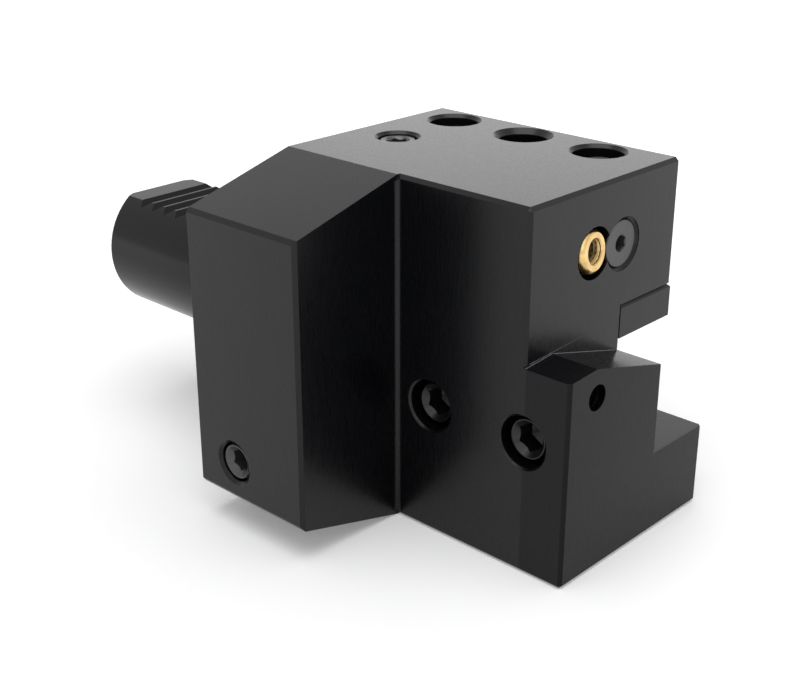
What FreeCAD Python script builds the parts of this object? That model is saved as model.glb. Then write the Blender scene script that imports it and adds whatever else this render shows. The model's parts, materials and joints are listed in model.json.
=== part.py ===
import FreeCAD, Part
import Sketcher
import math
import os
import re

# Axial tool holder with a serrated cylindrical shank, size 30, for 20 mm square-shank turning tools.
# Frame in millimetres: the origin is where the shank axis meets the seat face. X runs from the shank to the
# tool end, Y to the open side of the tool slot, Z up, away from the slot floor.

V = FreeCAD.Vector
doc = FreeCAD.newDocument("axial_tool_holder")

# Driving dimensions
SIZES = {
    "shank_dia": 30.0,
    "shank_len": 55.0,
    "shank_chamfer": 1.0,
    "tooth_crest_z": 12.0,
    "tooth_depth": 1.35,
    "tooth_pitch": 4.0,
    "tooth_count": 11,
    "tooth_steep_run": 1.2,
    "tooth_gentle_run": 2.2,
    "first_land": 5.9,
    "flat_runout": 4.6,
    "flange_thick": 29.0,
    "flange_near_y": -34.5,
    "block_near_y": -9.0,
    "far_y": 36.5,
    "top_z": 33.0,
    "bottom_z": -37.0,
    "flange_bevel_angle": 15.0,
    "block_len": 59.5,
    "nose_len": 69.3,
    "centre_height": 20.0,
    "slot_wall_y": 19.3,
    "slot_roof_z": 7.9,
    "ledge_near_z": 3.9,
    "ledge_ridge_y": -1.2,
    "ledge_ridge_z": 4.4,
    "ledge_wall_z": -1.2,
    "edge_chamfer": 0.7,
    "shortest_chamfered_run": 4.0,
    "inner_corner_fillet": 1.0,
    "thread_clearance": 0.05,
    "socket_lead_in": 0.5,
    "screw_end_chamfer": 0.5,
    "large_thread_dia": 10.0,
    "large_socket_flats": 5.0,
    "large_socket_depth": 4.5,
    "large_countersink_dia": 11.5,
    "plug_thread_dia": 8.0,
    "plug_socket_flats": 4.0,
    "plug_socket_depth": 3.6,
    "plug_countersink_dia": 9.3,
    "plug_length": 8.0,
    "plug_thread_depth": 12.0,
    "clamp_row_y": 29.2,
    "clamp_middle_x": 27.5,
    "clamp_spacing": 36.6,
    "clamp_screw_length": 20.0,
    "bar_thick": 6.6,
    "bar_gap_above": 0.35,
    "bar_gap_side": 0.4,
    "bar_end_gap": 1.0,
    "bar_chamfer": 0.6,
    "spring_web": 5.6,
    "counterbore_dia": 10.0,
    "counterbore_rim_dia": 12.2,
    "cap_thread_dia": 5.0,
    "cap_shank_hole_dia": 5.5,
    "cap_head_dia": 8.5,
    "cap_head_height": 5.0,
    "cap_socket_flats": 4.0,
    "cap_socket_depth": 2.5,
    "cap_length": 20.0,
    "cap_tip_cover": 0.4,
    "spring_wire_dia": 1.0,
    "spring_mean_dia": 7.4,
    "spring_turns": 4.25,
    "spring_steps_per_turn": 16,
    "spring_end_gap": 0.02,
    "side_rear_x": 37.3,
    "side_spacing": 22.1,
    "side_row_z": -10.4,
    "side_screw_length": 25.0,
    "side_screw_depth": 1.8,
    "side_countersink_dia": 10.9,
    "channel_x": 10.0,
    "channel_y": 11.2,
    "channel_dia": 6.0,
    "cross_drill_z": -22.6,
    "plug_seat_depth": 0.7,
    "inlet_y": -15.0,
    "inlet_dia": 8.0,
    "inlet_ring_dia": 13.0,
    "inlet_ring_depth": 1.6,
    "seal_section_dia": 2.0,
    "seal_ring_clearance": 0.5,
    "shank_recess_depth": 1.7,
    "nozzle_y": 10.0,
    "nozzle_z": 20.4,
    "nozzle_pocket_dia": 10.0,
    "nozzle_channel_dia": 5.0,
    "ball_dia": 9.0,
    "ball_face_dia": 7.6,
    "ball_bore_dia": 4.2,
    "ball_mouth_dia": 5.1,
    "ball_tilt": 8.0,
    "ball_tilt_roll": 45.0,
    "ball_seat_gap": 0.06,
    "seat_ring_mean_dia": 6.4,
    "seat_ring_section_dia": 2.0,
    "keeper_offset_y": 8.9,
    "keeper_offset_z": -0.4,
    "keeper_thread_dia": 5.0,
    "keeper_head_dia": 9.2,
    "keeper_head_rim": 0.3,
    "keeper_recess": 0.5,
    "keeper_pocket_dia": 10.4,
    "keeper_socket_flats": 3.0,
    "keeper_socket_depth": 2.2,
    "keeper_length": 12.0,
    "keeper_hole_depth": 15.0,
    "nose_hole_y": -0.8,
    "nose_hole_z": -1.2,
    "nose_hole_dia": 5.0,
    "nose_hole_depth": 14.0,
}
sheet = doc.addObject("Spreadsheet::Sheet", "Sizes")
for row, (alias, value) in enumerate(SIZES.items(), start=1):
    sheet.set(f"A{row}", alias)
    sheet.set(f"B{row}", str(value))
    sheet.setAlias(f"B{row}", alias)
doc.recompute()

PLANES = {"yz": "YZ_Plane", "xz": "XZ_Plane", "xy": "XY_Plane"}
STILL = ("0", "0", "0")


def cell(words):
    """Puts the sheet's name before each size in an expression; a name before a bracket is a function."""
    return re.sub(r"\b[a-z]\w+\b(?!\()", r"Sizes.\g<0>", words)


def size(words):
    return float(sheet.evalExpression(cell(words)))


def new_body(label):
    body = doc.addObject("PartDesign::Body", label)
    body.Label = label
    return body


def new_sketch(body, name, plane, shift):
    """A sketch on one of the body's own planes, its origin moved along its own two axes and its normal."""
    sketch = body.newObject("Sketcher::SketchObject", name)
    flat = [f for f in body.Origin.OriginFeatures if f.Role == PLANES[plane]][0]
    sketch.AttachmentSupport = [(flat, "")]
    sketch.MapMode = "FlatFace"
    for letter, words in zip("xyz", shift):
        sketch.setExpression("AttachmentOffset.Base." + letter, cell(words))
    return sketch


def outline(body, name, plane, points, shift=STILL):
    """A closed straight-sided outline; each corner is a pair of expressions in the sheet's sizes."""
    sketch = new_sketch(body, name, plane, shift)
    spots = [V(size(across), size(up), 0) for across, up in points]
    for start, end in zip(spots, spots[1:] + spots[:1]):
        sketch.addGeometry(Part.LineSegment(start, end), False)
    for number in range(len(spots)):
        sketch.addConstraint(Sketcher.Constraint("Coincident", number, 2, (number + 1) % len(spots), 1))
    for number, pair in enumerate(points):
        for kind, words in zip(("DistanceX", "DistanceY"), pair):
            held = sketch.addConstraint(Sketcher.Constraint(kind, -1, 1, number, 1, size(words)))
            sketch.setExpression(f"Constraints[{held}]", cell(words))
    return sketch


def circles(body, name, plane, radii, shift=STILL):
    """Circles about the sketch's origin, one for each radius."""
    sketch = new_sketch(body, name, plane, shift)
    for number, words in enumerate(radii):
        sketch.addGeometry(Part.Circle(V(0, 0, 0), V(0, 0, 1), size(words)), False)
        sketch.addConstraint(Sketcher.Constraint("Coincident", number, 3, -1, 1))
        held = sketch.addConstraint(Sketcher.Constraint("Radius", number, size(words)))
        sketch.setExpression(f"Constraints[{held}]", cell(words))
    return sketch


def hexagon(body, name, plane, flats, shift=STILL):
    """A hexagon about the sketch's origin, from its width across flats."""
    reach = f"{flats} / 2 / cos(30)"
    corners = [(f"{reach} * cos({60 * k})", f"{reach} * sin({60 * k})") for k in range(6)]
    return outline(body, name, plane, corners, shift)


def pad(body, name, sketch, length, back=False):
    feature = body.newObject("PartDesign::Pad", name)
    feature.Profile = sketch
    feature.setExpression("Length", cell(length))
    feature.Reversed = back
    doc.recompute()
    return feature


def cut(body, name, kind, sketch, set_up):
    """A cutting feature, which must take some of the solid away."""
    before = body.Shape.Volume
    feature = body.newObject("PartDesign::" + kind, name)
    feature.Profile = sketch
    set_up(feature)
    doc.recompute()
    if body.Shape.Volume > before - 0.01:
        raise ValueError(f"{body.Label}: {name} cuts nothing")
    return feature


def pocket(body, name, sketch, length, back=False):
    def set_up(feature):
        feature.setExpression("Length", cell(length))
        feature.Reversed = back
    return cut(body, name, "Pocket", sketch, set_up)


def through_pocket(body, name, sketch):
    def set_up(feature):
        feature.Type = 1
        feature.Midplane = True
    return cut(body, name, "Pocket", sketch, set_up)


def groove(body, name, sketch, axis):
    def set_up(feature):
        feature.ReferenceAxis = (sketch, [axis])
        feature.Angle = 360.0
    return cut(body, name, "Groove", sketch, set_up)


def revolve(body, name, sketch, axis):
    feature = body.newObject("PartDesign::Revolution", name)
    feature.Profile = sketch
    feature.ReferenceAxis = (sketch, [axis])
    feature.Angle = 360.0
    doc.recompute()
    return feature


def place(body, spot, turn=(0, 0, 0)):
    """Puts a finished piece in the holder; turn is yaw, pitch and roll in degrees."""
    body.Placement = FreeCAD.Placement(V(0, 0, 0), FreeCAD.Rotation(*turn))
    for letter, words in zip("xyz", spot):
        body.setExpression("Placement.Base." + letter, cell(words))
    doc.recompute()


def straight_edges(shape, keep):
    """Names of the straight edges whose two ends satisfy keep."""
    names = []
    for number, edge in enumerate(shape.Edges, start=1):
        if edge.Curve.TypeId == "Part::GeomLine":
            ends = [vertex.Point for vertex in edge.Vertexes]
            if keep(ends[0], ends[1]):
                names.append(f"Edge{number}")
    return names


def dress(body, name, kind, length, keep):
    """A chamfer or fillet on the straight edges that keep picks from the solid so far."""
    tip = body.Tip
    feature = body.newObject("PartDesign::" + kind, name)
    feature.Base = (tip, straight_edges(tip.Shape, keep))
    feature.setExpression("Size" if kind == "Chamfer" else "Radius", cell(length))
    doc.recompute()
    return feature


# Holder body: one forged and milled steel piece, the flange and the tool block drawn as cross-sections
# across the shank axis and the shank turned about it.
BEVEL_DROP = "(block_near_y - flange_near_y) * tan(flange_bevel_angle)"
SLOT_FLOOR = "-centre_height"
CLAMP_REAR_X = "clamp_middle_x - clamp_spacing / 2"
CLAMP_FRONT_X = "clamp_middle_x + clamp_spacing / 2"
SIDE_FRONT_X = "side_rear_x + side_spacing"
KEEPER_Y = "nozzle_y + keeper_offset_y"
KEEPER_Z = "nozzle_z + keeper_offset_z"
BALL_DEPTH = "sqrt(pow(ball_dia / 2; 2) - pow(ball_face_dia / 2; 2))"
SEAT_RING_DEPTH = (
    f"{BALL_DEPTH} + sqrt(pow((ball_dia + seat_ring_section_dia) / 2 + ball_seat_gap; 2)"
    " - pow(seat_ring_mean_dia / 2; 2))"
)
NOZZLE_POCKET_DEPTH = f"{SEAT_RING_DEPTH} + seat_ring_section_dia / 2"
BAR_TOP = "slot_roof_z - bar_gap_above"
SPRING_SEAT = "slot_roof_z + spring_web"
CAP_TIP = f"{BAR_TOP} - bar_thick + cap_tip_cover"
SHANK_RECESS_RADIUS = "shank_dia / 2 + seal_section_dia + seal_ring_clearance"


def holder_body():
    body = new_body("holder_body")

    # the thick flange, wider than the block on the near side, its overhang bevelled above and below
    flange = outline(body, "FlangeOutline", "yz", [
        ("far_y", "bottom_z"), ("far_y", "top_z"), ("block_near_y", "top_z"),
        ("flange_near_y", f"top_z - {BEVEL_DROP}"), ("flange_near_y", f"bottom_z + {BEVEL_DROP}"),
        ("block_near_y", "bottom_z")])
    pad(body, "Flange", flange, "flange_thick")

    # the tool block, and the longer nose under it whose top is a low ridge
    block = outline(body, "BlockOutline", "yz", [
        ("far_y", "bottom_z"), ("far_y", "top_z"), ("block_near_y", "top_z"), ("block_near_y", "bottom_z")])
    pad(body, "Block", block, "block_len")
    nose = outline(body, "NoseOutline", "yz", [
        ("far_y", "bottom_z"), ("far_y", SLOT_FLOOR), ("slot_wall_y", SLOT_FLOOR),
        ("slot_wall_y", "ledge_wall_z"), ("ledge_ridge_y", "ledge_ridge_z"),
        ("block_near_y", "ledge_near_z"), ("block_near_y", "bottom_z")])
    pad(body, "Nose", nose, "nose_len")

    # the tool slot: open to the far side, through from the seat face to the nose
    slot = outline(body, "SlotOutline", "yz", [
        ("slot_wall_y", SLOT_FLOOR), ("2 * far_y", SLOT_FLOOR), ("2 * far_y", "slot_roof_z"),
        ("slot_wall_y", "slot_roof_z")])
    through_pocket(body, "Slot", slot)

    # small chamfers on the block's outer edges, and the cutter radius in the corner behind the flange
    near = size("flange_near_y")
    mid = size("block_near_y")
    far = size("far_y")
    top = size("top_z")
    low = size("bottom_z")
    ends = (size("flange_thick"), size("block_len"), size("nose_len"))
    shortest = size("shortest_chamfered_run")

    def level(a, b, axis, value):
        return abs(a[axis] - value) < 0.01 and abs(b[axis] - value) < 0.01

    def inner_corner(a, b):
        return level(a, b, 1, mid) and level(a, b, 0, ends[0])

    def outer_edge(a, b):
        long_run = a.distanceToPoint(b) > shortest
        on_end = any(level(a, b, 0, x) for x in ends)
        flange_face = level(a, b, 1, near)
        far_face = level(a, b, 1, far)
        block_side = level(a, b, 1, mid) and not on_end
        past_flange = min(a[0], b[0]) > ends[0] - 0.01
        along = abs(a[0] - b[0]) > shortest
        return long_run and (
            (on_end and (flange_face or far_face))
            or (level(a, b, 0, ends[1]) and (level(a, b, 1, mid) or level(a, b, 2, top)))
            or (level(a, b, 0, ends[2]) and (level(a, b, 1, mid) or level(a, b, 2, low)))
            or (along and flange_face)
            or (along and far_face and (level(a, b, 2, top) or level(a, b, 2, low)))
            or (block_side and past_flange and (level(a, b, 2, top) or level(a, b, 2, low))))

    dress(body, "OuterChamfers", "Chamfer", "edge_chamfer", outer_edge)
    dress(body, "InnerCorner", "Fillet", "inner_corner_fillet", inner_corner)

    # the shank, with its end chamfer
    shank = outline(body, "ShankProfile", "xz", [
        ("1", "0"), ("-shank_len", "0"), ("-shank_len", "shank_dia / 2 - shank_chamfer"),
        ("shank_chamfer - shank_len", "shank_dia / 2"), ("1", "shank_dia / 2")])
    revolve(body, "Shank", shank, "H_Axis")

    # the serration: a flat along the shank's top, then one notch repeated at the pitch
    flat = outline(body, "FlatOutline", "xz", [
        ("-1.1 * shank_len", "tooth_crest_z"), ("-flat_runout", "tooth_crest_z"),
        ("-flat_runout", "shank_dia"), ("-1.1 * shank_len", "shank_dia")])
    through_pocket(body, "SerrationFlat", flat)
    first = "first_land - shank_len"
    notch = outline(body, "NotchOutline", "xz", [
        (first, "tooth_crest_z"), (f"{first} + tooth_steep_run", "tooth_crest_z - tooth_depth"),
        (f"{first} + tooth_steep_run + tooth_gentle_run", "tooth_crest_z"),
        (f"{first} + tooth_steep_run + tooth_gentle_run", "shank_dia"), (first, "shank_dia")])
    notch_cut = through_pocket(body, "Notch", notch)
    teeth = body.newObject("PartDesign::LinearPattern", "Serration")
    teeth.Originals = [notch_cut]
    teeth.Direction = (notch, ["H_Axis"])
    teeth.setExpression("Length", cell("tooth_pitch * (tooth_count - 1)"))
    teeth.setExpression("Occurrences", cell("tooth_count"))
    body.Tip = teeth
    doc.recompute()

    # the seal recess round the shank's root in the seat face
    recess = circles(body, "SealRecessOutline", "yz", [SHANK_RECESS_RADIUS, "shank_dia / 2"])
    pocket(body, "SealRecess", recess, "shank_recess_depth", back=True)

    # two clamp screw threads down to the slot roof, each with its conical mouth
    for name, where in (("Rear", CLAMP_REAR_X), ("Front", CLAMP_FRONT_X)):
        bore = "large_thread_dia / 2 + thread_clearance"
        wide = "large_countersink_dia / 2"
        hole = outline(body, name + "ClampProfile", "xz", [
            ("0", "slot_roof_z - 1"), (bore, "slot_roof_z - 1"), (bore, f"top_z - ({wide} - ({bore}))"),
            (wide, "top_z"), (wide, "top_z + 1"), ("0", "top_z + 1")], (where, "0", "-clamp_row_y"))
        groove(body, name + "ClampHole", hole, "V_Axis")

    # between them the counterbore for the spring and the cap screw that carries the clamping bar
    wide = "counterbore_rim_dia / 2"
    bore = "counterbore_dia / 2"
    shaft = "cap_shank_hole_dia / 2"
    hole = outline(body, "CounterboreProfile", "xz", [
        ("0", "slot_roof_z - 1"), (shaft, "slot_roof_z - 1"), (shaft, SPRING_SEAT), (bore, SPRING_SEAT),
        (bore, f"top_z - ({wide} - {bore})"), (wide, "top_z"), (wide, "top_z + 1"), ("0", "top_z + 1")],
        ("clamp_middle_x", "0", "-clamp_row_y"))
    groove(body, "Counterbore", hole, "V_Axis")

    # two side screw threads through the near wall into the slot
    for name, where in (("Rear", "side_rear_x"), ("Front", SIDE_FRONT_X)):
        bore = "large_thread_dia / 2 + thread_clearance"
        wide = "side_countersink_dia / 2"
        hole = outline(body, name + "SideProfile", "yz", [
            ("block_near_y - 1", "0"), ("block_near_y - 1", wide), ("block_near_y", wide),
            (f"block_near_y + {wide} - ({bore})", bore), ("slot_wall_y + 1", bore),
            ("slot_wall_y + 1", "0")], ("0", "side_row_z", where))
        groove(body, name + "SideHole", hole, "H_Axis")

    # the coolant way: in at the seat face, across from the flange side, up, and out to the nozzle
    thread = "plug_thread_dia / 2 + thread_clearance"
    wide = "plug_countersink_dia / 2"
    drill = "channel_dia / 2"
    hole = outline(body, "RiserProfile", "xz", [
        ("0", "cross_drill_z - channel_dia / 2"), (drill, "cross_drill_z - channel_dia / 2"),
        (drill, "top_z - plug_thread_depth"), (thread, "top_z - plug_thread_depth"),
        (thread, f"top_z - ({wide} - ({thread}))"), (wide, "top_z"), (wide, "top_z + 1"),
        ("0", "top_z + 1")], ("channel_x", "0", "-channel_y"))
    groove(body, "Riser", hole, "V_Axis")
    hole = outline(body, "CrossDrillProfile", "yz", [
        ("flange_near_y - 1", "0"), ("flange_near_y - 1", wide), ("flange_near_y", wide),
        (f"flange_near_y + {wide} - ({thread})", thread), ("flange_near_y + plug_thread_depth", thread),
        ("flange_near_y + plug_thread_depth", drill), ("channel_y", drill), ("channel_y", "0")],
        ("0", "cross_drill_z", "channel_x"))
    groove(body, "CrossDrill", hole, "H_Axis")
    inlet = outline(body, "InletProfile", "xz", [
        ("-1", "0"), ("-1", "inlet_ring_dia / 2"), ("inlet_ring_depth", "inlet_ring_dia / 2"),
        ("inlet_ring_depth", "inlet_dia / 2"), ("channel_x", "inlet_dia / 2"), ("channel_x", "0")],
        ("0", "cross_drill_z", "-inlet_y"))
    groove(body, "Inlet", inlet, "H_Axis")
    nozzle = outline(body, "NozzleProfile", "xz", [
        ("channel_x", "0"), ("channel_x", "nozzle_channel_dia / 2"),
        (f"block_len - ({NOZZLE_POCKET_DEPTH})", "nozzle_channel_dia / 2"),
        (f"block_len - ({NOZZLE_POCKET_DEPTH})", "nozzle_pocket_dia / 2"),
        ("block_len + 1", "nozzle_pocket_dia / 2"), ("block_len + 1", "0")],
        ("0", "nozzle_z", "-nozzle_y"))
    groove(body, "NozzlePocket", nozzle, "H_Axis")

    # the keeper screw's countersunk hole, which runs into the nozzle pocket
    wide = "keeper_pocket_dia / 2"
    bore = "keeper_thread_dia / 2 + thread_clearance"
    rim = "keeper_recess + keeper_head_rim - (keeper_pocket_dia - keeper_head_dia) / 2"
    keeper = outline(body, "KeeperProfile", "xz", [
        ("block_len - keeper_hole_depth", "0"), ("block_len - keeper_hole_depth", bore),
        (f"block_len - ({rim}) - ({wide} - ({bore}))", bore), (f"block_len - ({rim})", wide),
        ("block_len + 1", wide), ("block_len + 1", "0")], ("0", KEEPER_Z, f"-({KEEPER_Y})"))
    groove(body, "KeeperHole", keeper, "H_Axis")

    # the small tapped hole in the nose's end
    tapped = outline(body, "NoseHoleProfile", "xz", [
        ("nose_len - nose_hole_depth", "0"),
        ("nose_len - nose_hole_depth + nose_hole_dia / 4", "nose_hole_dia / 2"),
        ("nose_len + 1", "nose_hole_dia / 2"), ("nose_len + 1", "0")],
        ("0", "nose_hole_z", "-nose_hole_y"))
    groove(body, "NoseHole", tapped, "H_Axis")
    return body


def set_screw(label, thread, flats, depth, length, spot, turn):
    """A headless screw: chamfered ends, a cupped tip and a hexagon socket; its own Z leaves the face."""
    body = new_body(label)
    radius = f"{thread} / 2"
    lead = f"{thread} / 10"
    cup = f"{thread} / 4"
    profile = outline(body, "Profile", "xz", [
        ("0", "0"), (f"{radius} - {lead}", "0"), (radius, f"-{lead}"), (radius, f"{lead} * 1.5 - {length}"),
        (f"{radius} - {lead} * 1.5", f"-{length}"), (cup, f"-{length}"), ("0", f"{cup} / 2 - {length}")])
    revolve(body, "Thread", profile, "V_Axis")
    pocket(body, "Socket", hexagon(body, "SocketOutline", "xy", flats), depth)
    corner = f"{flats} / 2 / cos(30)"
    lead_in = outline(body, "SocketMouth", "xz", [
        ("0", "socket_lead_in"), (f"{corner} + socket_lead_in", "socket_lead_in"),
        (f"{corner} - socket_lead_in", "-socket_lead_in"), ("0", "-socket_lead_in")])
    groove(body, "SocketLeadIn", lead_in, "V_Axis")
    place(body, spot, turn)
    return body


UP = (0, 0, 0)
NEAR = (0, 0, 90)
END = (0, 90, 0)


def clamping_bar():
    """The flat steel bar that presses the tool down; the cap screw is tapped into its middle."""
    body = new_body("clamping_bar")
    inner = "slot_wall_y + bar_gap_side"
    section = outline(body, "Section", "yz", [
        (inner, f"{BAR_TOP} - bar_thick"), ("far_y", f"{BAR_TOP} - bar_thick"), ("far_y", BAR_TOP),
        (inner, BAR_TOP)], ("0", "0", "bar_end_gap"))
    pad(body, "Bar", section, "block_len - bar_end_gap")
    top = size(BAR_TOP)

    def upper_edge(a, b):
        return abs(a.z - top) < 0.01 and abs(b.z - top) < 0.01

    dress(body, "UpperChamfers", "Chamfer", "bar_chamfer", upper_edge)
    hole = circles(body, "TappedHoleOutline", "xy", ["cap_thread_dia / 2 + thread_clearance"],
                   ("clamp_middle_x", "clamp_row_y", BAR_TOP))
    pocket(body, "TappedHole", hole, "bar_thick + 1")
    return body


def bar_cap_screw():
    """The socket head cap screw that hangs the bar on its spring."""
    body = new_body("bar_retaining_screw")
    head = "cap_head_dia / 2"
    shaft = "cap_thread_dia / 2"
    profile = outline(body, "Profile", "xz", [
        ("0", "-cap_length"), (f"{shaft} - screw_end_chamfer", "-cap_length"),
        (shaft, "screw_end_chamfer - cap_length"), (shaft, "0"), (head, "0"),
        (head, "cap_head_height - screw_end_chamfer"), (f"{head} - screw_end_chamfer", "cap_head_height"),
        ("0", "cap_head_height")])
    revolve(body, "Screw", profile, "V_Axis")
    socket = hexagon(body, "SocketOutline", "xy", "cap_socket_flats", ("0", "0", "cap_head_height"))
    pocket(body, "Socket", socket, "cap_socket_depth")
    place(body, ("clamp_middle_x", "clamp_row_y", f"{CAP_TIP} + cap_length"))
    return body


def lift_spring():
    """The compression spring that lifts the bar by pushing up under the cap screw's head, its wire drawn as
    short mitred straights along a helix: corner k stands at angle 360 k / steps, at height H k / last."""
    wire = "spring_wire_dia / 2"
    height = f"({CAP_TIP} + cap_length) - ({SPRING_SEAT}) - spring_wire_dia - 2 * spring_end_gap"
    steps = SIZES["spring_steps_per_turn"]
    last = int(SIZES["spring_turns"] * steps)
    radius = size("spring_mean_dia / 2")
    rise = size(height) / last
    corners = []
    for k in range(last + 1):
        angle = 2 * math.pi * k / steps
        corners.append(V(radius * math.cos(angle), radius * math.sin(angle), rise * k))
    coil = doc.addObject("Part::Feature", "SpringCoil")
    coil.Shape = Part.makePolygon(corners)
    section = doc.addObject("Part::Circle", "SpringWire")
    section.setExpression("Radius", cell(wire))
    section.Placement = FreeCAD.Placement(corners[0], FreeCAD.Rotation(V(0, 0, 1), corners[1] - corners[0]))
    sweep = doc.addObject("Part::Sweep", "bar_lift_spring")
    sweep.Label = "bar_lift_spring"
    sweep.Sections = [section]
    sweep.Spine = (coil, [f"Edge{k + 1}" for k in range(last)])
    sweep.Solid = True
    sweep.Transition = "Right corner"
    place(sweep, ("clamp_middle_x", "clamp_row_y", f"{SPRING_SEAT} + {wire} + spring_end_gap"))
    return sweep


def nozzle_ball():
    """The brass swivel ball: a sphere cut flat, bored through, opened at the mouth and set at a tilt."""
    sphere = doc.addObject("Part::Sphere", "BallSphere")
    sphere.setExpression("Radius", cell("ball_dia / 2"))
    face = doc.addObject("Part::Box", "BallFaceCut")
    bore = doc.addObject("Part::Cylinder", "BallBore")
    mouth = doc.addObject("Part::Cone", "BallMouth")
    for letter in ("Length", "Width", "Height"):
        face.setExpression(letter, cell("2 * ball_dia"))
    for letter, words in zip("xyz", (BALL_DEPTH, "-ball_dia", "-ball_dia")):
        face.setExpression("Placement.Base." + letter, cell(words))
    bore.setExpression("Radius", cell("ball_bore_dia / 2"))
    bore.setExpression("Height", cell("2 * ball_dia"))
    bore.Placement = FreeCAD.Placement(V(0, 0, 0), FreeCAD.Rotation(V(0, 1, 0), 90))
    bore.setExpression("Placement.Base.x", cell("-ball_dia"))
    mouth.setExpression("Radius1", cell("ball_bore_dia / 2"))
    mouth.setExpression("Radius2", cell("ball_mouth_dia / 2"))
    mouth.setExpression("Height", cell("(ball_mouth_dia - ball_bore_dia) / 2"))
    mouth.Placement = FreeCAD.Placement(V(0, 0, 0), FreeCAD.Rotation(V(0, 1, 0), 90))
    mouth.setExpression("Placement.Base.x", cell(f"{BALL_DEPTH} - (ball_mouth_dia - ball_bore_dia) / 2"))
    tools = doc.addObject("Part::MultiFuse", "BallCutters")
    tools.Shapes = [face, bore, mouth]
    ball = doc.addObject("Part::Cut", "nozzle_ball")
    ball.Label = "nozzle_ball"
    ball.Base = sphere
    ball.Tool = tools
    roll = FreeCAD.Rotation(V(1, 0, 0), size("ball_tilt_roll"))
    tilt = FreeCAD.Rotation(V(0, 0, 1), size("ball_tilt"))
    ball.Placement = FreeCAD.Placement(V(0, 0, 0), roll.multiply(tilt))
    for letter, words in zip("xyz", (f"block_len - ({BALL_DEPTH})", "nozzle_y", "nozzle_z")):
        ball.setExpression("Placement.Base." + letter, cell(words))
    doc.recompute()
    return ball


def seal_ring(label, mean, section, spot):
    """A round-section ring whose axis lies along X."""
    ring = doc.addObject("Part::Torus", label)
    ring.Label = label
    ring.setExpression("Radius1", cell(f"({mean}) / 2"))
    ring.setExpression("Radius2", cell(f"({section}) / 2"))
    place(ring, spot, END)
    return ring


def keeper_screw():
    """The countersunk screw beside the ball, whose head rim holds the ball in its pocket."""
    body = new_body("nozzle_keeper_screw")
    head = "keeper_head_dia / 2"
    shaft = "keeper_thread_dia / 2"
    profile = outline(body, "Profile", "xz", [
        ("0", "0"), (head, "0"), (head, "-keeper_head_rim"), (shaft, f"{shaft} - {head} - keeper_head_rim"),
        (shaft, "screw_end_chamfer - keeper_length"), (f"{shaft} - screw_end_chamfer", "-keeper_length"),
        ("0", "-keeper_length")])
    revolve(body, "Screw", profile, "V_Axis")
    socket = hexagon(body, "SocketOutline", "xy", "keeper_socket_flats")
    pocket(body, "Socket", socket, "keeper_socket_depth")
    place(body, ("block_len - keeper_recess", KEEPER_Y, KEEPER_Z), END)
    return body


holder = holder_body()
bar = clamping_bar()
cap = bar_cap_screw()
spring = lift_spring()
LARGE = ("large_thread_dia", "large_socket_flats", "large_socket_depth")
PLUG = ("plug_thread_dia", "plug_socket_flats", "plug_socket_depth", "plug_length")
CLAMP_TOP = f"{BAR_TOP} + clamp_screw_length"
SIDE_Y = "block_near_y + side_screw_depth"
clamp_rear = set_screw("clamp_screw_rear", *LARGE, "clamp_screw_length",
                       (CLAMP_REAR_X, "clamp_row_y", CLAMP_TOP), UP)
clamp_front = set_screw("clamp_screw_front", *LARGE, "clamp_screw_length",
                        (CLAMP_FRONT_X, "clamp_row_y", CLAMP_TOP), UP)
side_rear = set_screw("side_screw_rear", *LARGE, "side_screw_length",
                      ("side_rear_x", SIDE_Y, "side_row_z"), NEAR)
side_front = set_screw("side_screw_front", *LARGE, "side_screw_length",
                       (SIDE_FRONT_X, SIDE_Y, "side_row_z"), NEAR)
top_plug = set_screw("top_plug_screw", *PLUG, ("channel_x", "channel_y", "top_z - plug_seat_depth"), UP)
flange_plug = set_screw("flange_plug_screw", *PLUG,
                        ("channel_x", "flange_near_y + plug_seat_depth", "cross_drill_z"), NEAR)
ball = nozzle_ball()
seat_ring = seal_ring("nozzle_seat_ring", "seat_ring_mean_dia", "seat_ring_section_dia",
                      (f"block_len - ({SEAT_RING_DEPTH})", "nozzle_y", "nozzle_z"))
keeper = keeper_screw()
shank_ring = seal_ring("shank_seal_ring", "shank_dia + seal_section_dia", "seal_section_dia",
                       ("shank_recess_depth - seal_section_dia / 2", "0", "0"))
inlet_ring = seal_ring("inlet_seal_ring", "inlet_ring_dia - seal_section_dia", "seal_section_dia",
                       ("inlet_ring_depth - seal_section_dia / 2", "inlet_y", "cross_drill_z"))
doc.recompute()

PIECES = [holder, bar, cap, spring, clamp_rear, clamp_front, side_rear, side_front, top_plug, flange_plug,
          ball, seat_ring, keeper, shank_ring, inlet_ring]
for thing in doc.Objects:
    if "Invalid" in thing.State or "Error" in thing.State:
        raise ValueError(f"{thing.Label} failed: {thing.State}")
for piece in PIECES:
    if piece.Shape.isNull() or not piece.Shape.isValid():
        raise ValueError(f"{piece.Label} has no valid shape")
os.makedirs("parts", exist_ok=True)
for piece in PIECES:
    piece.Shape.exportStep(os.path.join("parts", piece.Label + ".step"))
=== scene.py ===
import bpy
import json
import math
import numpy as np
from mathutils import Matrix, Vector


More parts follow.
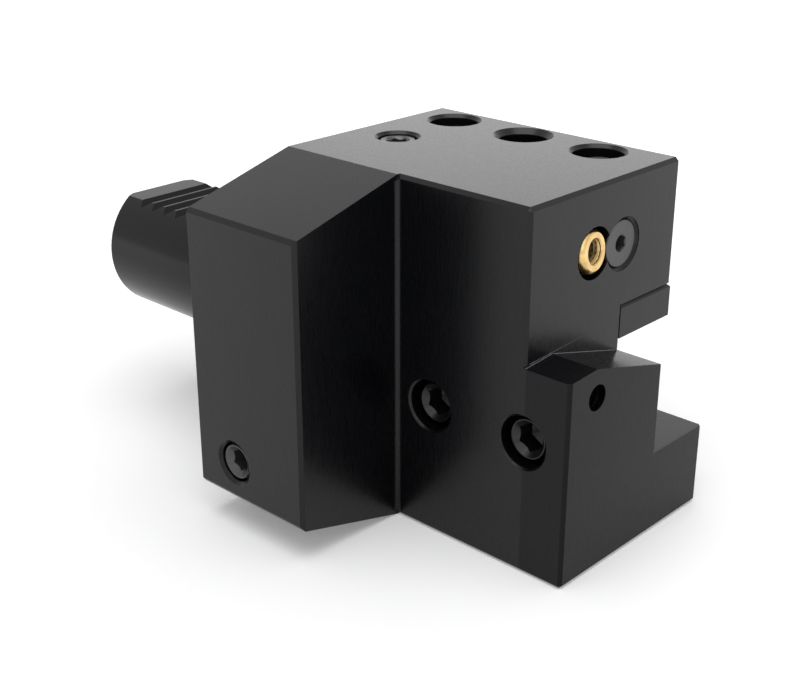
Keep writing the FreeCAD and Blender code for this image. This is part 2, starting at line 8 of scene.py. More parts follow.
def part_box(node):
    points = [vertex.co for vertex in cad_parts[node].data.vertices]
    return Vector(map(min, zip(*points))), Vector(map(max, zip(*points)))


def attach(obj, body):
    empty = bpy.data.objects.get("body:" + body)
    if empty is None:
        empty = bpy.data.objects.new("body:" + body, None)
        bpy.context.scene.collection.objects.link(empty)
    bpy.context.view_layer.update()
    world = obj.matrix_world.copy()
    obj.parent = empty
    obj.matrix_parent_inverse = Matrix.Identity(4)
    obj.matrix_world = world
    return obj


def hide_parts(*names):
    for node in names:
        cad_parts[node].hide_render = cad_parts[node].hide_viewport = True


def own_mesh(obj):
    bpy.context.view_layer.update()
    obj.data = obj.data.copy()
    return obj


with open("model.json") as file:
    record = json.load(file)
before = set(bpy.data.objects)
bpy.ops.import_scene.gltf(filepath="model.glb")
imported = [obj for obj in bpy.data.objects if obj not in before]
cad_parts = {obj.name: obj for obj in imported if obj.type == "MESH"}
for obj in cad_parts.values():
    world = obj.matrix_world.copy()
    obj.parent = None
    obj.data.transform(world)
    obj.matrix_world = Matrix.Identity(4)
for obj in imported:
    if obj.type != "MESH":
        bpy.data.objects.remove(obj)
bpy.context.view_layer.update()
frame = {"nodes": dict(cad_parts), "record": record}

# Holder body: one steel forging, milled on every face, hardened and chemically blackened, then oiled.
# The black layer is thin, so fine milling marks show through it and the long edges are rubbed paler.
MM = 0.001
HOLDER_TONE = (0.0018, 0.0020, 0.0029)
HOLDER_ROUGHNESS = 0.28
HOLDER_GLOSS = 0.29


def link(tree, start, end):
    tree.links.new(start, end)


def shader_node(tree, kind, values):
    """A new shader node of a kind, with its named inputs set to the values."""
    node = tree.nodes.new("ShaderNode" + kind)
    for socket, value in values.items():
        node.inputs[socket].default_value = value
    return node


def combined(tree, operation, *parts):
    """A Math node's result; each part is a number to set or a socket to link."""
    node = tree.nodes.new("ShaderNodeMath")
    node.operation = operation
    for place, part in zip(node.inputs, parts):
        if isinstance(part, float):
            place.default_value = part
        else:
            link(tree, part, place)
    return node.outputs["Value"]


def fresh_material(name):
    """A material, its node tree, its shader and the Object coordinates that its patterns lie on."""
    material = bpy.data.materials.new(name)
    material.use_nodes = True
    tree = material.node_tree
    place = shader_node(tree, "TexCoord", {})
    return material, tree, tree.nodes["Principled BSDF"], place.outputs["Object"]


def clouded_tone(tree, vector, noise, stops, tones):
    """A noise, and a colour that goes from one tone to the other as the noise goes from stop to stop."""
    cloud = shader_node(tree, "TexNoise", noise)
    link(tree, vector, cloud.inputs["Vector"])
    ramp = tree.nodes.new("ShaderNodeValToRGB")
    for element, stop, tone in zip(ramp.color_ramp.elements, stops, tones):
        element.position = stop
        element.color = (*tone, 1.0)
    link(tree, cloud.outputs["Fac"], ramp.inputs["Fac"])
    return cloud.outputs["Fac"], ramp.outputs["Color"]


def raise_surface(tree, height, strength, distance):
    """Turns the shader's normal as if the surface stood out by the height."""
    bump = shader_node(tree, "Bump", {"Strength": strength, "Distance": distance})
    link(tree, height, bump.inputs["Height"])
    link(tree, bump.outputs["Normal"], tree.nodes["Principled BSDF"].inputs["Normal"])


def blackened_steel(name, tone, roughness, gloss, grain, depth, stretch=(1.0, 1.0, 1.0), metallic=0.0):
    """Dark oxide over milled steel: a cloudy tone, brush lines stretched along one axis, and pits.

    Tone = tone * (0.75 to 1.3 by broad noise); roughness follows the brush lines; bump = lines + pits.
    """
    material, tree, shader, place = fresh_material(name)
    tones = [[share * value for value in tone] for share in (0.75, 1.3)]
    _, colour = clouded_tone(tree, place, {"Scale": 55.0, "Detail": 5.0}, (0.3, 0.72), tones)
    link(tree, colour, shader.inputs["Base Color"])

    turn = shader_node(tree, "Mapping", {"Scale": stretch})
    link(tree, place, turn.inputs["Vector"])
    lines = shader_node(tree, "TexNoise", {"Scale": grain, "Detail": 3.0})
    link(tree, turn.outputs["Vector"], lines.inputs["Vector"])
    polish = shader_node(tree, "MapRange", {
        "From Min": 0.3, "From Max": 0.7, "To Min": roughness - 0.03, "To Max": roughness + 0.04})
    link(tree, lines.outputs["Fac"], polish.inputs["Value"])
    link(tree, polish.outputs["Result"], shader.inputs["Roughness"])

    pits = shader_node(tree, "TexNoise", {"Scale": 2600.0, "Detail": 2.0})
    link(tree, place, pits.inputs["Vector"])
    relief = combined(tree, "MULTIPLY_ADD", pits.outputs["Fac"], 0.45, lines.outputs["Fac"])
    raise_surface(tree, relief, depth, 0.04 * MM)
    shader.inputs["Specular IOR Level"].default_value = gloss
    shader.inputs["Metallic"].default_value = metallic
    return material


def finish_node(name, material):
    """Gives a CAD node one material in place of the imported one."""
    node = frame["nodes"][name]
    node.data.materials.clear()
    node.data.materials.append(material)


body_steel = blackened_steel("milled_black_steel", HOLDER_TONE, HOLDER_ROUGHNESS, HOLDER_GLOSS, 3200.0,
                             0.05, stretch=(1.0, 1.0, 0.06))
finish_node("holder_body", body_steel)

# The shank, behind the turret face at x = 0, is ground after hardening: smoother than the block, and duller
# black. The nose and its end face are duller too. Every corner is broken by hand: the soft edge normal.
SHANK_ROOT = (-1.2 * MM, -0.4 * MM)
NOSE_ROOT = (59.6 * MM, 59.9 * MM)
NOSE_END = (68.6 * MM, 68.8 * MM)
EDGE_RADIUS = 0.14 * MM
body_tree = body_steel.node_tree
body_shader = body_tree.nodes["Principled BSDF"]
where = shader_node(body_tree, "SeparateXYZ", {})
link(body_tree, body_tree.nodes["Texture Coordinate"].outputs["Object"], where.inputs["Vector"])


def along_x(span, first, last):
    """A factor that goes from first to last over a span of the x axis."""
    step = shader_node(body_tree, "MapRange", {
        "From Min": span[0], "From Max": span[1], "To Min": first, "To Max": last})
    link(body_tree, where.outputs["X"], step.inputs["Value"])
    return step.outputs["Result"]


def times(first, second):
    return combined(body_tree, "MULTIPLY", first, second)


milled = body_tree.nodes["Map Range"].outputs["Result"]
link(body_tree, times(milled, along_x(SHANK_ROOT, 0.75, 1.0)), body_shader.inputs["Roughness"])
nose_shine = times(along_x(NOSE_ROOT, 1.0, 0.72), along_x(NOSE_END, 1.0, 0.76))
shine = times(along_x(SHANK_ROOT, 0.72 * HOLDER_GLOSS, HOLDER_GLOSS), nose_shine)
link(body_tree, shine, body_shader.inputs["Specular IOR Level"])
soft_edge = shader_node(body_tree, "Bevel", {"Radius": EDGE_RADIUS})
soft_edge.samples = 4
link(body_tree, soft_edge.outputs["Normal"], body_tree.nodes["Bump"].inputs["Normal"])


# Fine bright lines: the milling cutter's run-out at the foot of the block's end face, a scribed line just
# above it and a scratch on the nose's step. The scribed line and the scratch are bare steel, cut through
# the black layer; the foot lines are partly the cutter's mark and partly a painted highlight, a bright
# steel strip for the light that the corner's small fillet catches. Each row has the line's start and end,
# and its radius in mm at both.
BLOCK_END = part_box("clamping_bar")[1][0]
STEP_TOP = -20.0 * MM
FINE_LINES = {
    "foot_line_near": ((BLOCK_END, -9.0 * MM, 3.93 * MM), (BLOCK_END, -1.2 * MM, 4.43 * MM), 0.045, 0.045),
    "foot_line_far": ((BLOCK_END, -1.2 * MM, 4.43 * MM), (BLOCK_END, 19.3 * MM, -1.17 * MM), 0.045, 0.035),
    "scribed_line": ((BLOCK_END, -8.17 * MM, 4.45 * MM), (BLOCK_END, 8.2 * MM, 5.08 * MM), 0.035, 0.01),
    "step_scratch": ((61.36 * MM, 32.76 * MM, STEP_TOP), (64.56 * MM, 33.29 * MM, STEP_TOP), 0.03, 0.01),
}


def surface(name, rows, material, body, poles=(False, False), closed=False, sharp=32.0):
    """A mesh from a grid of points, rows x columns x 3, whose columns close into rings.

    A pole row becomes one point, and closed joins the last row to the first, which it must repeat. The
    faces are turned outwards by the sign of the enclosed volume.
    """
    rows = np.asarray(rows, dtype=float)
    count, across = rows.shape[0], rows.shape[1]
    index = np.arange(count * across).reshape(count, across)
    spots = rows.reshape(-1, 3)
    for at_pole, row in zip(poles, (0, -1)):
        if at_pole:
            spots[index[row]] = rows[row].mean(axis=0)
            index[row] = index[row, 0]
    if closed:
        index[-1] = index[0]
    right = np.roll(index, -1, axis=1)
    quads = np.stack([index[:-1], right[:-1], right[1:], index[1:]], axis=-1).reshape(-1, 4)
    used, inverse = np.unique(quads, return_inverse=True)
    spots = spots[used]
    quads = inverse.reshape(-1, 4)
    a, b, c, d = (spots[quads[:, k]] for k in range(4))
    volume = (a * np.cross(b, c)).sum() + (a * np.cross(c, d)).sum()
    if volume < 0:
        quads = quads[:, ::-1]
    faces = [tuple(dict.fromkeys(q)) for q in quads.tolist()]
    mesh = bpy.data.meshes.new(name)
    mesh.from_pydata(spots.tolist(), [], faces)
    mesh.update()
    mesh.polygons.foreach_set("use_smooth", [True] * len(mesh.polygons))
    mesh.set_sharp_from_angle(angle=math.radians(sharp))
    mesh.materials.append(material)
    piece = bpy.data.objects.new(name, mesh)
    bpy.context.scene.collection.objects.link(piece)
    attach(piece, body)
    return piece


def tube(path, radius, sides, up):
    """Rings round a path: point + radius * (cos(a) * side + sin(a) * top), side = along x up."""
    along = np.gradient(path, axis=0)
    along /= np.linalg.norm(along, axis=1, keepdims=True)
    side = np.cross(along, up)
    side /= np.linalg.norm(side, axis=1, keepdims=True)
    top = np.cross(side, along)
    angle = np.linspace(0, 2 * np.pi, sides, endpoint=False)
    reach = np.asarray(radius) * np.ones(len(path))
    ring = np.cos(angle)[None, :, None] * side[:, None] + np.sin(angle)[None, :, None] * top[:, None]
    return path[:, None] + reach[:, None, None] * ring


# Bright bare steel: real on the scribed line and the scratch, a painted highlight on the two foot lines.
cut_and_highlight = blackened_steel("painted_highlight_and_cut_steel", (0.30, 0.30, 0.31), 0.3, 0.6, 4000.0, 0.1,
                             stretch=(1.0, 0.08, 1.0), metallic=0.9)
steps = np.linspace(0, 1, 25)
for name, (start, end, first, last) in FINE_LINES.items():
    start, end = np.array(start), np.array(end)
    path = start + (end - start) * steps[:, None]
    radius = (first + (last - first) * steps) * MM
    up = (0.0, 0.0, 1.0) if name == "step_scratch" else (1.0, 0.0, 0.0)
    surface(name, tube(path, radius, 8, up), cut_and_highlight, "holder", poles=(True, True))


# Screws: M10 set screws that clamp the bar and the tool, M8 plugs in the coolant drillings, the M5 cap
# screw of the bar and the nozzle's countersunk screw. Rolled threads, pressed hexagons, black oxide.
# SET_SCREWS holds the sizes of both set screws in mm; UP, NEAR and END are the faces that screws stand in.
TURN = 96
SET_SCREWS = {
    "M10": {"pitch": 1.5, "radius": 5.0, "flats": 5.0, "depth": 4.5, "rim": 3.8},
    "M8": {"pitch": 1.25, "radius": 4.0, "flats": 4.0, "depth": 3.6, "rim": 3.4},
}
UP = (0, 0, 1)
NEAR = (0, -1, 0)
END = (1, 0, 0)


def around_circle():
    """The angles of one ring's points."""
    return np.linspace(0, 2 * np.pi, TURN, endpoint=False)


def thread_wave(height, angle, pitch):
    """0 at a crest and 1 at a root: a blunt triangle wave of height / pitch - angle / a full turn."""
    phase = (height / pitch - angle / (2 * np.pi)) % 1.0
    return np.clip(np.abs(phase - 0.5) * 2 * 1.25 - 0.125, 0, 1)


def threaded_rows(radius, low, high, pitch, low_cone, high_cone):
    """Rings of a thread from low to high: the smallest of the crest radius less the wave, a 45 degree cone
    at the low end and one twice as steep at the high end."""
    angle = around_circle()
    height = np.linspace(low, high, max(3, int((high - low) / pitch * 10)))[:, None]
    thread = radius - 0.6 * pitch * thread_wave(height, angle[None, :], pitch)
    cone = np.minimum(radius - low_cone + (height - low), radius - high_cone + (high - height) / 2)
    reach = np.minimum(thread, cone)
    return np.stack([reach * np.cos(angle), reach * np.sin(angle), height + 0 * reach], axis=-1)


def ring(radius, height):
    """One ring of points round the z axis; the radius may change with the angle."""
    angle = around_circle()
    reach = radius + 0 * angle
    return np.stack([reach * np.cos(angle), reach * np.sin(angle), height + 0 * angle], axis=-1)[None]


def hexagon_reach(flats, turned):
    """Distance to a hexagon's side: half its flats / cos(angle from the nearest flat's middle)."""
    angle = around_circle() + turned
    return flats / 2 / np.cos((angle % (np.pi / 3)) - np.pi / 6)


def socket_rows(flats, depth, mouth, turned=0.0):
    """A hexagon socket in the face at height 0: a 45 degree cone from the mouth's radius down to the
    hexagon, the hexagon's walls, and a drilled cone at the bottom."""
    reach = hexagon_reach(flats, turned)
    drilled = -depth - 0.25 * flats
    return np.concatenate([
        ring(mouth, 0.0), ring(reach, reach - mouth), ring(reach, -depth), ring(0.0, drilled)])


def seat(node, out):
    """(face centre, axes) of a CAD screw: the box's face on the side that it is driven from."""
    low, high = (np.array(v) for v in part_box(node))
    out = np.array(out, dtype=float)
    centre = (low + high) / 2 + out * np.abs((high - low) @ out) / 2
    side = np.array((0.0, 0.0, -1.0)) if abs(out[0]) > 0.5 else np.array((1.0, 0.0, 0.0))
    return centre, np.stack([side, np.cross(out, side), out])


def standing(rows, centre, axes):
    """Rows drawn round the z axis, set with their origin on the centre and their z axis out of the face."""
    return rows @ axes + centre


def set_screw(node, out, body, material, thread, length, mouth):
    """A headless screw: cupped tip, thread with both ends coned, hexagon socket. The face is the flat ring
    from the socket's mouth to the rim, both radii in mm, as the length is."""
    size = {part: value * MM for part, value in SET_SCREWS[thread].items()}
    radius, rim = size["radius"], size["rim"]
    length, mouth = length * MM, mouth * MM
    cup = radius / 2
    tip = radius - 0.3 * radius
    rows = np.concatenate([
        ring(0.0, cup / 2 - length), ring(cup, -length), ring(tip, -length),
        threaded_rows(radius, -length, 0.0, size["pitch"], radius - tip, radius - rim), ring(rim, 0.0),
        socket_rows(size["flats"], size["depth"], mouth, np.pi / 6)])
    piece = surface(node + "_thread", standing(rows, *seat(node, out)), material, body,
                    poles=(True, True))
    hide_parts(node)


screw_black = blackened_steel("screw_black_oxide", (0.005, 0.005, 0.006), 0.3, 0.42, 5200.0, 0.1)
plug_grey = blackened_steel("plug_worn_grey", (0.07, 0.07, 0.073), 0.3, 0.6, 5200.0, 0.12, metallic=0.55)
for node, out, body, length in (
        ("clamp_screw_rear", UP, "clamp_rear", 20.0), ("clamp_screw_front", UP, "clamp_front", 20.0),
        ("side_screw_rear", NEAR, "side_rear", 25.0), ("side_screw_front", NEAR, "side_front", 25.0)):
    set_screw(node, out, body, screw_black, "M10", length, 3.6)
set_screw("top_plug_screw", UP, "holder", plug_grey, "M8", 8.0, 2.5)
set_screw("flange_plug_screw", NEAR, "holder", plug_grey, "M8", 8.0, 3.15)

# Cap screw of the clamping bar: it hangs in the counterbore between the clamp screws, screwed into the bar.
# Its knurled head, black oxide as the others, sits on the lift spring.
CAP_RADIUS = 4.25 * MM
CAP_HEIGHT = 5.0 * MM
CAP_TIP = -20.0 * MM - CAP_HEIGHT
KNURL_DEPTH = 0.08 * MM
KNURLS = 48
M5_RADIUS = 2.5 * MM
M5_TIP = 2.0 * MM
M5_PITCH = 0.8 * MM
knurled = CAP_RADIUS + KNURL_DEPTH * (np.abs(np.sin(around_circle() * (KNURLS / 2))) - 1)
cap_rows = np.concatenate([
    ring(0.0, CAP_TIP), ring(M5_TIP, CAP_TIP),
    threaded_rows(M5_RADIUS, CAP_TIP, -CAP_HEIGHT, M5_PITCH, M5_RADIUS - M5_TIP, 0.0),
    ring(M5_RADIUS, -CAP_HEIGHT), ring(CAP_RADIUS - 0.2 * MM, -CAP_HEIGHT),
    ring(knurled, 0.2 * MM - CAP_HEIGHT), ring(knurled, -0.7 * MM),
    ring(CAP_RADIUS - 0.1 * MM, -0.5 * MM), ring(CAP_RADIUS - 0.5 * MM, 0.0),
    socket_rows(4.0 * MM, 2.5 * MM, 2.5 * MM)])
cap = surface("bar_cap_screw", standing(cap_rows, *seat("bar_retaining_screw", UP)), screw_black, "bar",
              poles=(True, True))
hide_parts("bar_retaining_screw")

# Keeper: the countersunk screw beside the nozzle, whose head holds the ball in its pocket. Its face is
# turned bare steel gone grey, its rim a thin edge.
KEEPER_HEAD = 4.5 * MM
KEEPER_TIP = -12.0 * MM
keeper_grey = blackened_steel("keeper_turned_grey", (0.065, 0.065, 0.068), 0.34, 0.5, 4200.0, 0.12,
                              metallic=0.35)
keeper_rows = np.concatenate([
    ring(0.0, KEEPER_TIP), ring(M5_TIP, KEEPER_TIP),
    threaded_rows(M5_RADIUS, KEEPER_TIP, -2.5 * MM, M5_PITCH, M5_RADIUS - M5_TIP, 0.0),
    ring(M5_RADIUS, -2.4 * MM), ring(KEEPER_HEAD, -0.4 * MM), ring(KEEPER_HEAD, -0.12 * MM),
    ring(KEEPER_HEAD - 0.12 * MM, 0.0), socket_rows(2.9 * MM, 2.5 * MM, 1.69 * MM)])
keeper = surface("keeper_countersunk", standing(keeper_rows, *seat("nozzle_keeper_screw", END)),
                 keeper_grey, "keeper", poles=(True, True), sharp=25.0)
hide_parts("nozzle_keeper_screw")


# Tapped holes: the ridges that a tap leaves in the wall of a hole, seen above the sunk clamp screws and in
# the nose's small hole. They are part of the holder, which they are cut in. FOOT and CREST are half the
# ridge's width at the wall and at its top, as shares of the pitch.
LARGE_BORE = 5.05 * MM
FOOT = 0.42
CREST = 0.06


def tapped(name, centre, out, bore, crest, start, end, pitch, material, body):
    """A ridge along a helix inside a hole: four corners (two on the wall, two at the crest) per step.

    Radius = bore at the wall, and bore less the ridge at the crest; both ends run out to nothing.
    """
    out = np.array(out, dtype=float)
    out /= np.linalg.norm(out)
    side = np.cross(out, (0.0, 0.0, 1.0)) if abs(out[2]) < 0.9 else np.array((1.0, 0.0, 0.0))
    side /= np.linalg.norm(side)
    over = np.cross(out, side)
    turns = (end - start) / pitch
    along = np.linspace(0, 1, int(turns * 48) + 2)
    angle = 2 * np.pi * turns * along
    fade = np.clip(np.minimum(along, 1 - along) * turns * 3, 0.02, 1)
    direction = np.cos(angle)[:, None] * side + np.sin(angle)[:, None] * over
    depth = start + (end - start) * along
    wall = bore * np.ones(len(along))
    tip = bore - crest * fade
    corners = []
    for shift, reach in ((-FOOT, wall), (-CREST, tip), (CREST, tip), (FOOT, wall)):
        corners.append(np.array(centre) + direction * reach[:, None]
                       - out * (depth + shift * pitch * fade)[:, None])
    surface(name, np.stack(corners, axis=1), material, body, poles=(True, True), sharp=20.0)


hole_steel = blackened_steel("tapped_hole_steel", (0.004, 0.004, 0.005), 0.3, 0.25, 4000.0, 0.08)
TOP_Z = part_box("holder_body")[1][2]
for name, node in (
        ("rear_clamp_tapping", "clamp_screw_rear"), ("front_clamp_tapping", "clamp_screw_front")):
    centre, _ = seat(node, UP)
    top = (centre[0], centre[1], TOP_Z)
    tapped(name, top, UP, LARGE_BORE, 0.5 * MM, 2.6 * MM, TOP_Z - centre[2] + 3.0 * MM, 1.5 * MM,
           hole_steel, "holder")
MOUNTS = {mount["name"]: mount for mount in frame["record"]["mounts"]}
nose_hole = MOUNTS["nose_thread"]
tapped("nose_hole_tapping", nose_hole["pos_m"], nose_hole["axis"], 2.5 * MM, 0.12 * MM, 1.4 * MM, 10.5 * MM,
       1.0 * MM, hole_steel, "holder")


# Clamping bar: a flat steel bar, ground on its faces and blackened with the body but a shade browner. It
# hangs under the slot's roof on its cap screw, and the clamp screws press it on the tool.
bar_steel = blackened_steel("ground_black_bar", (0.010, 0.0095, 0.0095), 0.4, 0.29, 3600.0, 0.15,
                            stretch=(0.05, 1.0, 1.0))
finish_node("clamping_bar", bar_steel)

# Lift spring: music wire wound cold, a grey steel shine down in the counterbore. It stands under the cap
# screw's head and is squashed as the bar goes down.
WIRE = 0.5 * MM
COIL_RADIUS = 3.7 * MM
COIL_TURNS = 4.25
spring_low, spring_high = (np.array(v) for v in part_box("bar_lift_spring"))
cap_low, cap_high = (np.array(v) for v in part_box("bar_retaining_screw"))
middle = (cap_low + cap_high) / 2
sweep = np.linspace(0, 2 * np.pi * COIL_TURNS, 400)
rise = spring_low[2] + WIRE + (spring_high[2] - spring_low[2] - 2 * WIRE) * sweep / sweep[-1]
coil = np.column_stack([
    middle[0] + COIL_RADIUS * np.cos(sweep), middle[1] + COIL_RADIUS * np.sin(sweep), rise])
spring_wire = blackened_steel("spring_wire", (0.32, 0.32, 0.33), 0.28, 0.5, 4000.0, 0.08, metallic=0.9)
spring = surface("lift_spring_coil", tube(coil, 0.98 * WIRE, 12, (0.0, 0.0, 1.0)), spring_wire, "holder",
                 poles=(True, True), sharp=60.0)
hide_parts("bar_lift_spring")
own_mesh(spring)

# Nozzle ball: turned and polished brass, its flat face ringed by fine tool marks and tapped for a tube. It
# swivels in its pocket beside the keeper. BALL_RIDGE is the height of the thread in the bore.
BALL_RADIUS = 4.5 * MM
BALL_FACE = 3.55 * MM
FACE_HEIGHT = 2.41 * MM
SHOULDER_HEIGHT = 1.9 * MM
BALL_BORE = 2.4 * MM
BALL_RIDGE = 0.42 * MM
nozzle_mount = MOUNTS["nozzle_thread"]
ball_centre = np.array(nozzle_mount["pos_m"])
ball_out = np.array(nozzle_mount["axis"])
ball_out /= np.linalg.norm(ball_out)
ball_side = np.cross(ball_out, (0.0, 0.0, 1.0))
ball_side /= np.linalg.norm(ball_side)
ball_axes = np.stack([ball_side, np.cross(ball_out, ball_side), ball_out])


def length_of(tree, vector):
    """How far a vector's spot lies from the origin."""
    away = tree.nodes.new("ShaderNodeVectorMath")
    away.operation = "LENGTH"
    link(tree, vector, away.inputs[0])
    return away.outputs["Value"]


def turned_brass(name):
    """Brass with a warm, slightly uneven colour, fine turning rings, and painted shade that darkens the
    bore.

    Colour = the cloudy brass * painted bore shade (0.08 to 1 from 2.1 to 3.3 mm off the ball's centre).
    """
    material, tree, shader, place = fresh_material(name)
    shader.inputs["Metallic"].default_value = 1.0
    centre = shader_node(tree, "Mapping", {"Location": -ball_centre})
    link(tree, place, centre.inputs["Vector"])
    _, colour = clouded_tone(tree, centre.outputs["Vector"], {"Scale": 420.0, "Detail": 4.0}, (0.3, 0.75),
                             ((0.60, 0.40, 0.155), (0.82, 0.60, 0.27)))
    # Painted shade: the brass is darkened inside the bore, where it lies 2.1 to 3.3 mm from the ball's
    # centre.
    painted_bore_shade = shader_node(tree, "MapRange", {"From Min": 2.1 * MM, "From Max": 3.3 * MM, "To Min": 0.08})
    link(tree, length_of(tree, centre.outputs["Vector"]), painted_bore_shade.inputs["Value"])
    shade_painted_colour = tree.nodes.new("ShaderNodeVectorMath")
    shade_painted_colour.operation = "SCALE"
    link(tree, colour, shade_painted_colour.inputs[0])
    link(tree, painted_bore_shade.outputs["Result"], shade_painted_colour.inputs["Scale"])
    link(tree, shade_painted_colour.outputs["Vector"], shader.inputs["Base Color"])

    rings = shader_node(tree, "TexWave", {"Scale": 1900.0, "Distortion": 0.4})
    rings.wave_type = "RINGS"
    rings.rings_direction = "X"
    link(tree, centre.outputs["Vector"], rings.inputs["Vector"])
    polish = shader_node(tree, "MapRange", {"To Min": 0.20, "To Max": 0.30})
    link(tree, rings.outputs["Fac"], polish.inputs["Value"])
    link(tree, polish.outputs["Result"], shader.inputs["Roughness"])
    raise_surface(tree, rings.outputs["Fac"], 0.15, 0.02 * MM)
    return material


ball_brass = turned_brass("turned_brass")
lowest = -math.sqrt(BALL_RADIUS ** 2 - BALL_BORE ** 2)
polar = np.linspace(math.asin(lowest / BALL_RADIUS), math.asin(SHOULDER_HEIGHT / BALL_RADIUS), 40)
ball_shell = np.concatenate([ring(BALL_RADIUS * math.cos(a), BALL_RADIUS * math.sin(a)) for a in polar])
bore_angle = around_circle()
bore_height = np.linspace(FACE_HEIGHT - 0.2 * MM, lowest, 110)[:, None]
bore_fade = np.clip(np.minimum((FACE_HEIGHT - bore_height) / MM, (bore_height - lowest) / MM), 0, 1)
bore_wave = thread_wave(bore_height, bore_angle[None, :], M5_PITCH)
bore_reach = BALL_BORE - BALL_RIDGE * bore_fade * (1 - bore_wave)
bore_rows = np.stack([bore_reach * np.cos(bore_angle), bore_reach * np.sin(bore_angle),
                      bore_height + 0 * bore_reach], axis=-1)
ball_rows = np.concatenate([
    ball_shell, ring(BALL_FACE + 0.06 * MM, FACE_HEIGHT - 0.05 * MM), ring(BALL_FACE, FACE_HEIGHT),
    ring(BALL_BORE + 0.15 * MM, FACE_HEIGHT), bore_rows, ball_shell[:1]])
ball = surface("brass_ball", standing(ball_rows, ball_centre, ball_axes), ball_brass, "nozzle",
               closed=True, sharp=28.0)
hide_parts("nozzle_ball")


# Seal rings: nitrile rings, moulded and pressed into grooves round the shank's root and the coolant inlet,
# and the ring that the ball is seated on.
def seal_rubber(name):
    """Black rubber: matt, with a faint grey bloom in patches and a fine moulded grain."""
    material, tree, shader, place = fresh_material(name)
    bloom, colour = clouded_tone(tree, place, {"Scale": 300.0}, (0.0, 1.0),
                                 ((0.010, 0.010, 0.011), (0.028, 0.028, 0.029)))
    link(tree, colour, shader.inputs["Base Color"])
    raise_surface(tree, bloom, 0.2, 0.03 * MM)
    shader.inputs["Roughness"].default_value = 0.6
    return material


ring_rubber = seal_rubber("ring_rubber")
for node in ("nozzle_seat_ring", "shank_seal_ring", "inlet_seal_ring"):
    finish_node(node, ring_rubber)


# Floor: a plain pale sheet that the holder stands on, wide enough to reach past the picture. Floor and
# world both show their own white to the rays that see the background, whatever light falls on the holder.
def seen_rays(tree):
    """1 for the rays that show the background: camera, glossy and transmission rays; 0 for the others."""
    rays = shader_node(tree, "LightPath", {})
    glossy, through = rays.outputs["Is Glossy Ray"], rays.outputs["Is Transmission Ray"]
    passed_on = combined(tree, "MAXIMUM", glossy, through)
    return combined(tree, "MAXIMUM", rays.outputs["Is Camera Ray"], passed_on)


def plain_sheet(name):
    """A matt near-white sheet that shows a little paler than the lamps make it, and keeps its shadows.

    Added paleness = 0.2 at the holder, rising to 1 at 0.6 m, beyond the lamps' reach. The low paleness near
    the holder is painted shade round it; far off, the sheet shows white.
    """
    material, tree, shader, place = fresh_material(name)
    for socket, value in {"Base Color": (0.9, 0.9, 0.9, 1.0), "Roughness": 0.7, "Specular IOR Level": 0.2,
                          "Emission Color": (1.0, 1.0, 1.0, 1.0)}.items():
        shader.inputs[socket].default_value = value
    # Painted shade: the added paleness is least near the holder, so the floor there stays darker.
    fade = shader_node(tree, "MapRange", {"From Min": 0.05, "From Max": 0.6, "To Min": 0.2, "To Max": 1.0})
    link(tree, length_of(tree, place), fade.inputs["Value"])
    paleness_with_painted_shade = combined(tree, "MULTIPLY", seen_rays(tree), fade.outputs["Result"])
    link(tree, paleness_with_painted_shade, shader.inputs["Emission Strength"])
    return material


FLOOR_HALF = 4.0
floor_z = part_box("holder_body")[0][2]
floor_mesh = bpy.data.meshes.new("floor")
corners = [(x * FLOOR_HALF, y * FLOOR_HALF, floor_z) for x, y in ((-1, -1), (1, -1), (1, 1), (-1, 1))]
floor_mesh.from_pydata(corners, [], [(0, 1, 2, 3)])
floor = bpy.data.objects.new("floor", floor_mesh)
floor_mesh.materials.append(plain_sheet("pale_sheet"))
bpy.context.scene.collection.objects.link(floor)

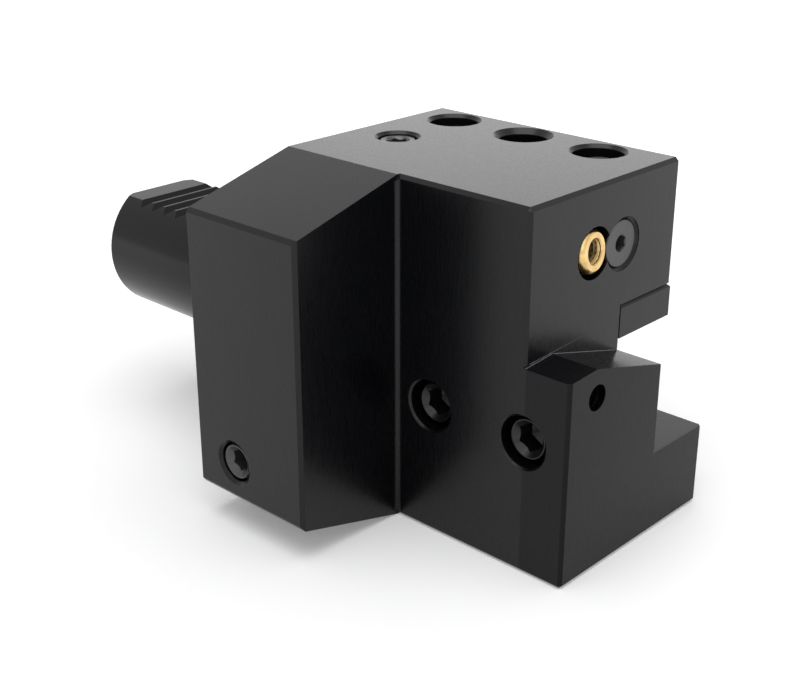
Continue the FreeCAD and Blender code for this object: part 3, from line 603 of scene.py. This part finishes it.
# Studio light: a white room, a wide soft lamp overhead for the upper faces, a low one behind and a weak one
# in front. The room lights the holder at half strength and shows as white.
world = bpy.data.worlds.new("studio")
bpy.context.scene.world = world
world.use_nodes = True
room = world.node_tree
background = room.nodes["Background"]
background.inputs["Color"].default_value = (0.75, 0.75, 0.77, 1.0)
background.inputs["Strength"].default_value = 0.5
white = room.nodes.new("ShaderNodeBackground")
white.inputs["Color"].default_value = (1.0, 1.0, 1.0, 1.0)
mix = room.nodes.new("ShaderNodeMixShader")
link(room, seen_rays(room), mix.inputs[0])
link(room, background.outputs["Background"], mix.inputs[1])
link(room, white.outputs["Background"], mix.inputs[2])
link(room, mix.outputs["Shader"], room.nodes["World Output"].inputs["Surface"])


def soft_lamp(name, spot, aim, width, height, watts):
    """A rectangular lamp at spot, facing aim."""
    light = bpy.data.lights.new(name, "AREA")
    light.shape = "RECTANGLE"
    light.size = width
    light.size_y = height
    light.energy = watts
    lamp = bpy.data.objects.new(name, light)
    lamp.location = spot
    lamp.rotation_mode = "QUATERNION"
    lamp.rotation_quaternion = (Vector(aim) - Vector(spot)).to_track_quat("-Z", "Y")
    bpy.context.scene.collection.objects.link(lamp)


soft_lamp("back_low_lamp", (-0.40, 0.72, 0.24), (0.0, 0.0, 0.0), 0.62, 0.36, 0.6)
soft_lamp("overhead_lamp", (0.1, -0.15, 0.85), (0.02, 0.0, 0.0), 0.8, 0.8, 5.2)
soft_lamp("front_lamp", (0.5, -0.55, 0.5), (0.02, 0.0, 0.0), 0.6, 0.4, 0.5)

# Camera: solved from the photograph's straight edges. Its place is in metres, and right, down and forward
# are its own axes.
CAMERA_SPOT = (0.18927, -0.17838, 0.09865)
CAMERA_RIGHT = (0.73039, 0.68303, 0.00149)
CAMERA_DOWN = (0.26466, -0.28100, -0.92250)
CAMERA_FORWARD = (-0.62967, 0.67417, -0.38601)
lens = bpy.data.cameras.new("view")
lens.sensor_fit = "HORIZONTAL"
lens.sensor_width = 36.0
lens.lens = 59.379
lens.clip_start = 0.005
lens.clip_end = 20.0
camera = bpy.data.objects.new("view", lens)
turn = Matrix([CAMERA_RIGHT, [-v for v in CAMERA_DOWN], [-v for v in CAMERA_FORWARD]]).transposed()
camera.matrix_world = Matrix.Translation(CAMERA_SPOT) @ turn.to_4x4()
bpy.context.scene.collection.objects.link(camera)
bpy.context.scene.camera = camera
bpy.context.scene.view_settings.view_transform = "Standard"
